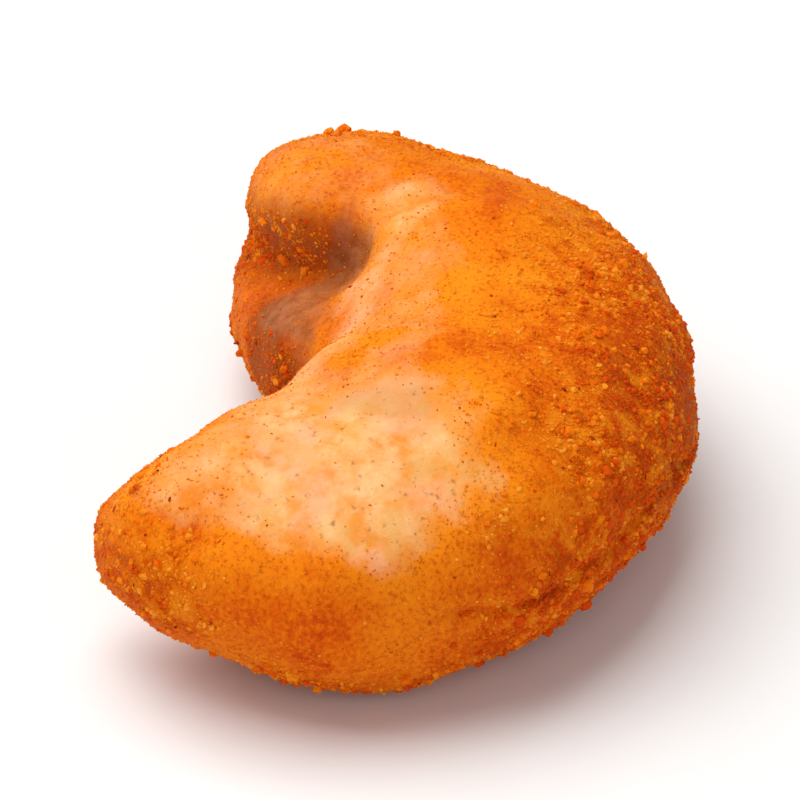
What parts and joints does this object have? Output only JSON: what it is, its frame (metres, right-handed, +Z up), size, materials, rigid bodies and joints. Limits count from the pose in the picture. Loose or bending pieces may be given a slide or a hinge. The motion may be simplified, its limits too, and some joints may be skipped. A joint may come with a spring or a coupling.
{
  "type": "spiced cashew nut",
  "caption": "Roasted cashew kernel in a crust of orange spice: a curved, kidney-shaped nut with a blunt arm, a slim arm and an open cleft at the blunt tip, lying on its side.",
  "frame": {"origin": "middle of the nut's bounding box in plan, on the surface that it lies on", "axes": "+X along the nut's length towards the slim arm, +Y towards its back, away from the hollow of the bend, +Z up through its thickness"},
  "size_m": [0.0246, 0.0164, 0.0084],
  "materials": {
    "spiced_kernel": "dry roasted kernel with a sandy orange spice crust and a pale bare patch"
  },
  "bodies": {
    "root": {"cashew_nut": "spiced_kernel"}
  },
  "joints": []
}
